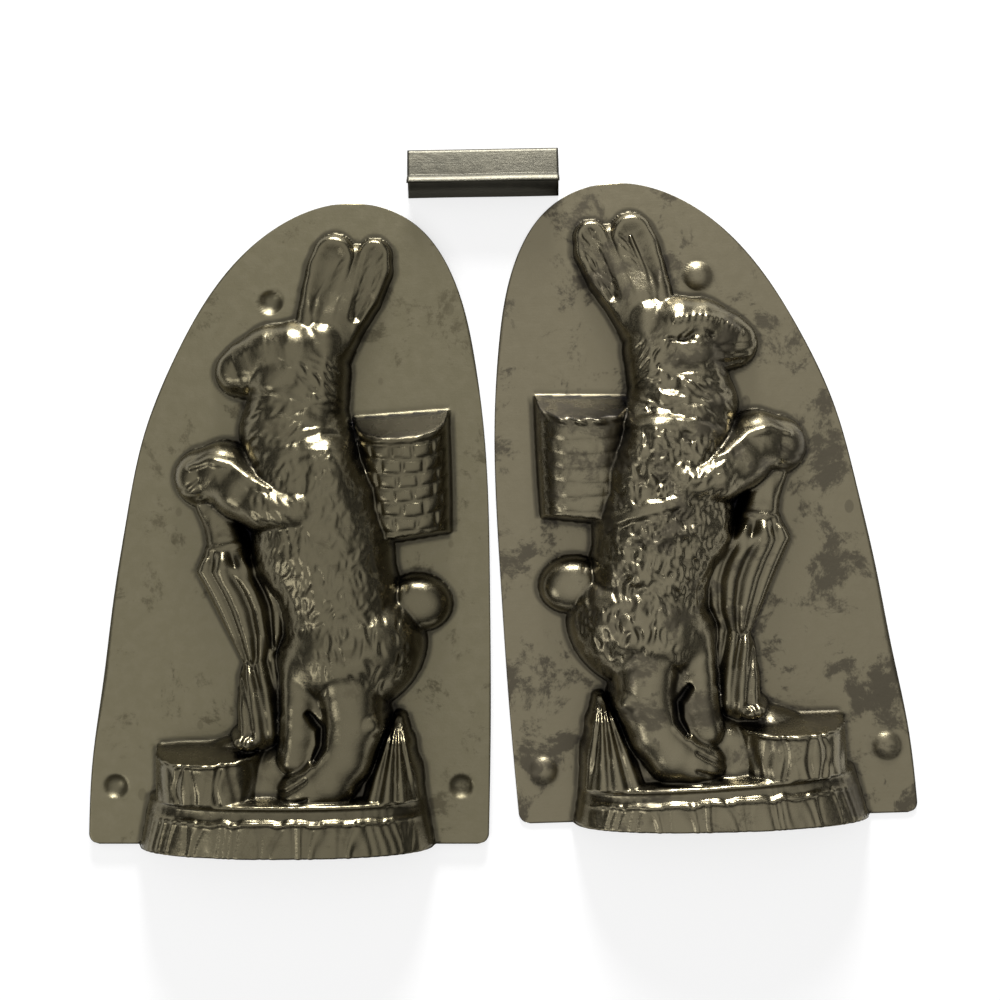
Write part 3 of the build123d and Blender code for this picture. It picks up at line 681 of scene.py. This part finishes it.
millimetre = Matrix.Scale(0.001, 4)
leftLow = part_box("left_half")[0]
edgeLow = flangeEdges()[0][:, 0].min()
leftOrigin = Vector((leftLow.x * 1000 - edgeLow, leftLow.y * 1000, layout["leftRaise"]))
rightOrigin = leftOrigin + Vector((layout["halfPitch"], layout["halfShift"], -leftOrigin.z))
leftPlace = millimetre @ Matrix.Translation(leftOrigin)
rightTurn = Matrix.Rotation(math.radians(layout["rightTurn"]), 4, "Z")
mirrored = Matrix.Scale(-1, 4, (1, 0, 0))
rightPlace = millimetre @ Matrix.Translation(rightOrigin) @ rightTurn @ mirrored

leftHalf = buildHalf("leftHalf", leftCarving, leftPlace)
print("left half:", len(leftHalf.data.polygons), "faces")
rightHalf = buildHalf("rightHalf", rightCarving, rightPlace)
print("right half:", len(rightHalf.data.polygons), "faces")

clip = {
    "length": 50.0,
    "sheet": 0.7,
    "leg": 8.0,
    "backGap": 2.4,
    "pinchGap": 1.0,
    "lip": 6.6,
    "lipAngle": 44.0,
    "bend": 1.0,
    "backBend": 0.9,         # corner radius of the back, as a share of half its width
    "bendSteps": 6,
    "lengthCells": 60,
    "wobble": 0.12,          # hand-folded unevenness along the strip
    "wobbleLength": 7.3,     # of one wave, over two pi
}


def arcPoints(before, corner, after, radius, steps):         # a corner of the section, rounded
    a, b = (before - corner).normalized(), (after - corner).normalized()
    half = a.angle(b) / 2
    centre = corner + (a + b).normalized() * (radius / math.sin(half))
    first = corner + a * radius / math.tan(half) - centre
    last = corner + b * radius / math.tan(half) - centre
    return [centre + first.slerp(last, i / steps) for i in range(steps + 1)]


def clipSection():       # middle line of the folded strip, and how far it tips over when it lies on a table
    pinch, back = (clip["pinchGap"] + clip["sheet"]) / 2, (clip["backGap"] + clip["sheet"]) / 2
    flare, halfSheet = math.radians(clip["lipAngle"]), clip["sheet"] / 2
    lipEnd = -clip["leg"] - clip["lip"] * math.cos(flare)
    lipRise = pinch + clip["lip"] * math.sin(flare)
    upper = [Vector((lipEnd, lipRise, 0)), Vector((-clip["leg"], pinch, 0)), Vector((back, back, 0))]
    corners = upper + [Vector((p.x, -p.y, 0)) for p in reversed(upper)]
    backRadius = clip["backBend"] * back
    path = [corners[0]]
    for i, radius in enumerate((clip["bend"], backRadius, backRadius, clip["bend"])):
        path += arcPoints(corners[i], corners[i + 1], corners[i + 2], radius, clip["bendSteps"])
    path.append(corners[-1])
    tip = Vector((lipEnd + halfSheet * math.sin(flare), -lipRise - halfSheet * math.cos(flare), 0))
    across = Vector((back - backRadius, backRadius - back, 0)) - tip
    return path, math.atan2(across.y, across.x) - math.asin((backRadius + halfSheet) / across.length)


def buildClip(name):
    path, tilt = clipSection()
    cells = clip["lengthCells"]
    bm = bmesh.new()
    verts = [bm.verts.new(p) for p in path]
    edges = [bm.edges.new(pair) for pair in zip(verts, verts[1:])]
    for cell in range(cells):
        strip = bmesh.ops.extrude_edge_only(bm, edges=edges)["geom"]
        moved = [g for g in strip if isinstance(g, bmesh.types.BMVert)]
        bmesh.ops.translate(bm, verts=moved, vec=(0, 0, clip["length"] / cells))
        edges = [g for g in strip if isinstance(g, bmesh.types.BMEdge)
                 and abs(g.verts[0].co.z - g.verts[1].co.z) < 1e-6]
    for v in bm.verts:
        z = v.co.z - clip["length"] / 2
        side = 1 if v.co.y > 0 else -0.6         # the two legs bend unevenly
        fromBack = min(1, abs(v.co.x) / clip["leg"])
        v.co.y += clip["wobble"] * math.sin(z / clip["wobbleLength"]) * side * fromBack
        v.co.z = z
    bmesh.ops.recalc_face_normals(bm, faces=bm.faces)
    bmesh.ops.solidify(bm, geom=bm.faces, thickness=clip["sheet"])
    turn = Matrix.Rotation(math.radians(layout["clipTurn"]), 4, "Z")
    lying = Matrix(((0, 0, 1, 0), (1, 0, 0, 0), (0, 1, 0, 0), (0, 0, 0, 1)))         # its length along x
    bmesh.ops.transform(bm, matrix=turn @ Matrix.Rotation(-tilt, 4, "X") @ lying, verts=bm.verts)
    bmesh.ops.transform(bm, matrix=millimetre, verts=bm.verts)
    low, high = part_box("spring_clip")
    mineLow, mineHigh = [Vector(map(pick, zip(*[v.co for v in bm.verts]))) for pick in (min, max)]
    middle = (low + high) / 2 - (mineLow + mineHigh) / 2
    bmesh.ops.translate(bm, verts=bm.verts, vec=(middle.x, middle.y, low.z - mineLow.z))
    return addPiece(name, bm)


clipPiece = buildClip("foldedClip")
print("clip:", len(clipPiece.data.polygons), "faces")

for piece, node, slot in ((leftHalf, "left_half", "left_tinplate"),
                          (rightHalf, "right_half", "right_tinplate"),
                          (clipPiece, "spring_clip", "clip_steel")):
    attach(piece, "root")
    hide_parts(node)


def hexToLinear(code):
    channels = [int(code[i:i + 2], 16) / 255 for i in (0, 2, 4)]
    return [c / 12.92 if c <= 0.04045 else ((c + 0.055) / 1.055) ** 2.4 for c in channels] + [1]


def addNode(tree, kind, settings=None, inputs=None):         # a node with its settings, values and links
    node = tree.nodes.new(kind)
    for key, value in (settings or {}).items():
        setattr(node, key, value)
    for key, value in (inputs or {}).items():
        if isinstance(value, bpy.types.NodeSocket):
            tree.links.new(value, node.inputs[key])
        else:
            node.inputs[key].default_value = value
    return node


tarnish = {
    "bloom": "837C68",           # paler worn tin
    "paintedShadeColour": "0B0C14",           # blue-black painted shade for the folds and hollows
    "reliefShadeTone": "5D5746",      # painted shade: the raised forms are coloured darker than the flange
    "patchSize": 20.0,
    "spotSize": 4.0,
    "spotPitch": 15.0,
    "grainSize": 0.7,
    "scratchLength": 9.0,
    "shadeReach": 7.0,            # how near walls make a fold that gets painted shade
    "flatRoughness": 0.4,
    "reliefRoughness": 0.24,     # the raised forms are rubbed shinier by handling
    "reliefRise": 4.0,
}

leftFinish = {
    "colour": "726C57",
    "oxide": "595342",
    "patchShare": 0.05,
    "seed": 1,
    "flatTop": layout["leftRaise"] + 1.0,        # height of the plain flange, with the relief above it
    "reliefShade": 0.6,            # share of the painted shade on the raised forms
    "wear": 0.35,                # share of the paler worn tin
}

rightFinish = {
    "colour": "78715D",
    "oxide": "48433A",
    "patchShare": 0.09,
    "seed": 2,
    "flatTop": 1.0,
    "reliefShade": 0.15,
    "wear": 0.35,
}

clipFinish = {
    "colour": "46443C",
    "oxide": "33322D",
    "patchShare": -0.1,
    "seed": 3,
    "flatTop": 20.0,             # above the clip, which has no relief
    "reliefShade": 0,
    "wear": 0.05,
}


def agedMetal(name, finish):
    # Tinplate: steel sheet dipped in tin and pressed, over a century old. The tin has gone olive grey,
    # with darker blotches where it has oxidised and dull scuffs; painted shade darkens the deepest folds and
    # the raised forms.
    # The clip is spring steel strip, folded by hand and tarnished more evenly.
    material = bpy.data.materials.new(name)
    material.use_nodes = True
    tree = material.node_tree
    shader = tree.nodes["Principled BSDF"]
    shader.inputs["Metallic"].default_value = 1.0
    paintedShadeColour = hexToLinear(tarnish["paintedShadeColour"])
    oxide = hexToLinear(finish["oxide"])
    spot = addNode(tree, "ShaderNodeTexCoord").outputs["Object"]
    elsewhere = (finish["seed"] * 0.731, finish["seed"] * 0.417, 0)      # its own part of the pattern
    place = addNode(tree, "ShaderNodeMapping", None,
                    {"Vector": spot, "Location": elsewhere}).outputs["Vector"]
    cloud = addNode(tree, "ShaderNodeTexNoise", None,
                    {"Vector": place, "Scale": 1000 / tarnish["patchSize"], "Detail": 10,
                     "Roughness": 0.74, "Distortion": 0.3}).outputs["Fac"]
    small = addNode(tree, "ShaderNodeTexNoise", None,
                    {"Vector": place, "Scale": 1000 / tarnish["spotSize"], "Detail": 6,
                     "Roughness": 0.7}).outputs["Fac"]
    grain = addNode(tree, "ShaderNodeTexNoise", None,
                    {"Vector": place, "Scale": 1000 / tarnish["grainSize"], "Detail": 3,
                     "Roughness": 0.6}).outputs["Fac"]
    drawn = addNode(tree, "ShaderNodeMapping", None,
                    {"Vector": spot, "Rotation": (0, 0, 0.5 + finish["seed"]),
                     "Scale": (1, 14, 1)}).outputs["Vector"]
    scratch = addNode(tree, "ShaderNodeTexNoise", None,
                      {"Vector": drawn, "Scale": 1000 / tarnish["scratchLength"], "Detail": 4,
                       "Roughness": 0.5}).outputs["Fac"]

    blotches = addNode(tree, "ShaderNodeMapRange", {"interpolation_type": "SMOOTHSTEP"},
                       {"Value": cloud, "From Min": 0.6 - finish["patchShare"],
                        "From Max": 0.68 - finish["patchShare"]}).outputs["Result"]
    worn = addNode(tree, "ShaderNodeMapRange", None,
                   {"Value": small, "From Min": 0.42, "From Max": 0.72}).outputs["Result"]
    wornShare = addNode(tree, "ShaderNodeMath", {"operation": "MULTIPLY"},
                        {0: worn, 1: finish["wear"]}).outputs[0]
    tone = addNode(tree, "ShaderNodeMix", {"data_type": "RGBA"},
                   {"Factor": wornShare, 6: hexToLinear(finish["colour"]),
                    7: hexToLinear(tarnish["bloom"])}).outputs[2]
    oxideShare = addNode(tree, "ShaderNodeMath", {"operation": "MULTIPLY"}, {0: blotches, 1: 0.75}).outputs[0]
    tone = addNode(tree, "ShaderNodeMix", {"data_type": "RGBA"},
                   {"Factor": oxideShare, 6: tone, 7: oxide}).outputs[2]

    squeezed = addNode(tree, "ShaderNodeMapping", None,
                       {"Vector": place, "Scale": (1.3, 0.9, 0.3)}).outputs["Vector"]
    cells = addNode(tree, "ShaderNodeTexVoronoi", None,
                    {"Vector": squeezed, "Scale": 1000 / tarnish["spotPitch"]}).outputs
    nearSpot = addNode(tree, "ShaderNodeMapRange", {"interpolation_type": "SMOOTHSTEP"},
                       {"Value": cells["Distance"], "From Min": 0.15, "From Max": 0.12}).outputs["Result"]
    pick = addNode(tree, "ShaderNodeSeparateColor", None, {"Color": cells["Color"]}).outputs["Red"]
    few = addNode(tree, "ShaderNodeMath", {"operation": "GREATER_THAN"}, {0: pick, 1: 0.6}).outputs[0]
    spots = addNode(tree, "ShaderNodeMath", {"operation": "MULTIPLY"}, {0: nearSpot, 1: few}).outputs[0]
    spotShare = addNode(tree, "ShaderNodeMath", {"operation": "MULTIPLY"}, {0: spots, 1: 0.4}).outputs[0]
    tone = addNode(tree, "ShaderNodeMix", {"data_type": "RGBA"},
                   {"Factor": spotShare, 6: tone, 7: oxide}).outputs[2]

    height = addNode(tree, "ShaderNodeSeparateXYZ", None, {"Vector": spot}).outputs["Z"]
    onRelief = addNode(tree, "ShaderNodeMapRange", {"interpolation_type": "SMOOTHSTEP"},
                       {"Value": height, "From Min": finish["flatTop"] * 0.001,
                        "From Max": (finish["flatTop"] + tarnish["reliefRise"]) * 0.001}).outputs["Result"]
    # Painted shade: the raised forms are coloured darker than the flange
    darker = addNode(tree, "ShaderNodeMath", {"operation": "MULTIPLY"},
                     {0: onRelief, 1: finish["reliefShade"]}).outputs[0]
    tone = addNode(tree, "ShaderNodeMix", {"data_type": "RGBA"},
                   {"Factor": darker, 6: tone, 7: hexToLinear(tarnish["reliefShadeTone"])}).outputs[2]

    # Painted shade: blue-black where nearby walls close in, found by ambient occlusion
    folds = addNode(tree, "ShaderNodeAmbientOcclusion", {"samples": 8},
                    {"Distance": tarnish["shadeReach"] * 0.001}).outputs["AO"]
    shadeInFolds = addNode(tree, "ShaderNodeMapRange", None,
                      {"Value": folds, "From Min": 0.62, "From Max": 0.16}).outputs["Result"]
    tone = addNode(tree, "ShaderNodeMix", {"data_type": "RGBA"},
                   {"Factor": shadeInFolds, 6: tone, 7: paintedShadeColour}).outputs[2]
    # Painted shade from the mesh: hollows and the basket's mouth turn blue-black
    shadeAttribute = addNode(tree, "ShaderNodeAttribute", {"attribute_name": "paintedShade"}).outputs["Fac"]
    tone = addNode(tree, "ShaderNodeMix", {"data_type": "RGBA"},
                   {"Factor": shadeAttribute, 6: tone, 7: paintedShadeColour}).outputs[2]
    tree.links.new(tone, shader.inputs["Base Color"])

    polish = tarnish["reliefRoughness"] - tarnish["flatRoughness"]
    rough = addNode(tree, "ShaderNodeMath", {"operation": "MULTIPLY_ADD"},
                    {0: onRelief, 1: polish, 2: tarnish["flatRoughness"]}).outputs[0]
    rough = addNode(tree, "ShaderNodeMath", {"operation": "MULTIPLY_ADD"},
                    {0: worn, 1: 0.06, 2: rough}).outputs[0]
    rough = addNode(tree, "ShaderNodeMath", {"operation": "MULTIPLY_ADD"},
                    {0: blotches, 1: 0.12, 2: rough}).outputs[0]
    tree.links.new(rough, shader.inputs["Roughness"])

    fine = addNode(tree, "ShaderNodeBump", None,
                   {"Strength": 0.12, "Distance": 0.0001, "Height": grain}).outputs["Normal"]
    lines = addNode(tree, "ShaderNodeBump", None,
                    {"Strength": 0.15, "Distance": 0.0002, "Height": scratch,
                     "Normal": fine}).outputs["Normal"]
    dents = addNode(tree, "ShaderNodeBump", None,
                    {"Strength": 0.25, "Distance": 0.0006, "Height": small,
                     "Normal": lines}).outputs["Normal"]
    tree.links.new(dents, shader.inputs["Normal"])
    return material


leftHalf.data.materials.append(agedMetal("tarnishedTinplateLeft", leftFinish))
rightHalf.data.materials.append(agedMetal("tarnishedTinplateRight", rightFinish))
clipPiece.data.materials.append(agedMetal("springSteel", clipFinish))
print("materials set")

studio = {                   # camera in millimetres, lamps and floor in metres
    "cameraAt": (-1.43, -1.57, 540.0),       # straight above the middle of the picture
    "lens": 58.3,
    "sensor": 36.0,
    "zenith": 1.0,           # the sky is bright overhead and dim round the horizon
    "horizon": 0.05,
    "skyFrom": 0.3,          # how high the bright part starts, 1 is straight up
    "wallTop": 0.12,         # a low white wall all round, which closes the background
    "wallFull": 0.06,
    "keyPlace": (0.0, 1.1, 0.32),
    "keySize": 0.42,
    "keyPower": 30.0,
    "fillPlace": (-0.8, -0.5, 0.6),
    "fillSize": 0.4,
    "fillPower": 1.6,
    "floorColour": 0.4,
    "floorGlow": 0.65,       # only the camera and mirror-like surfaces see it
    "floorHalfSize": 30.0,
}

cameraData = bpy.data.cameras.new("overheadCamera")
camera = bpy.data.objects.new("overheadCamera", cameraData)
bpy.context.scene.collection.objects.link(camera)
camera.location = Vector(studio["cameraAt"]) * 0.001
cameraData.lens = studio["lens"]
cameraData.sensor_width = studio["sensor"]
cameraData.clip_start = 0.01
bpy.context.scene.camera = camera


def areaLamp(name, place, size, power):
    data = bpy.data.lights.new(name, "AREA")
    data.shape = "DISK"
    data.size = size
    data.energy = power
    lamp = bpy.data.objects.new(name, data)
    lamp.location = place
    lamp.rotation_euler = (-Vector(place)).to_track_quat("-Z", "Y").to_euler()
    bpy.context.scene.collection.objects.link(lamp)


areaLamp("keyLamp", studio["keyPlace"], studio["keySize"], studio["keyPower"])
areaLamp("fillLamp", studio["fillPlace"], studio["fillSize"], studio["fillPower"])

world = bpy.data.worlds.new("studioSky")
bpy.context.scene.world = world
world.use_nodes = True
sky = world.node_tree
towards = addNode(sky, "ShaderNodeTexCoord").outputs["Generated"]
height = addNode(sky, "ShaderNodeSeparateXYZ", None, {"Vector": towards}).outputs["Z"]
overhead = addNode(sky, "ShaderNodeMapRange", {"interpolation_type": "SMOOTHSTEP"},
                   {"Value": height, "From Min": studio["skyFrom"], "From Max": 1.0,
                    "To Min": studio["horizon"], "To Max": studio["zenith"]}).outputs["Result"]
wall = addNode(sky, "ShaderNodeMapRange", {"interpolation_type": "SMOOTHSTEP"},
               {"Value": height, "From Min": studio["wallTop"],
                "From Max": studio["wallFull"]}).outputs["Result"]
level = addNode(sky, "ShaderNodeMath", {"operation": "MAXIMUM"}, {0: overhead, 1: wall}).outputs[0]
back = sky.nodes["Background"]
back.inputs["Color"].default_value = (1, 1, 1, 1)
sky.links.new(level, back.inputs["Strength"])
print("camera and lights set")


def whitePaper():        # matt studio paper that keeps a soft shadow and looks white from everywhere
    paper = bpy.data.materials.new("whitePaper")
    paper.use_nodes = True
    tree = paper.node_tree
    shader = tree.nodes["Principled BSDF"]
    shader.inputs["Base Color"].default_value = (*[studio["floorColour"]] * 3, 1)
    shader.inputs["Roughness"].default_value = 0.9
    shader.inputs["Specular IOR Level"].default_value = 0.0
    shader.inputs["Emission Color"].default_value = (1, 1, 1, 1)
    rays = addNode(tree, "ShaderNodeLightPath").outputs
    seen = addNode(tree, "ShaderNodeMath", {"operation": "MAXIMUM"},
                   {0: rays["Is Camera Ray"], 1: rays["Is Glossy Ray"]}).outputs[0]
    seen = addNode(tree, "ShaderNodeMath", {"operation": "MAXIMUM"},
                   {0: seen, 1: rays["Is Transmission Ray"]}).outputs[0]
    glow = addNode(tree, "ShaderNodeMath", {"operation": "MULTIPLY"},
                   {0: seen, 1: studio["floorGlow"]}).outputs[0]
    tree.links.new(glow, shader.inputs["Emission Strength"])
    return paper


floorShape = bmesh.new()
bmesh.ops.create_grid(floorShape, x_segments=1, y_segments=1, size=studio["floorHalfSize"])
floor = addPiece("floor", floorShape)
floor.data.materials.append(whitePaper())

bpy.context.scene.view_settings.view_transform = "Standard"
print("scene ready")
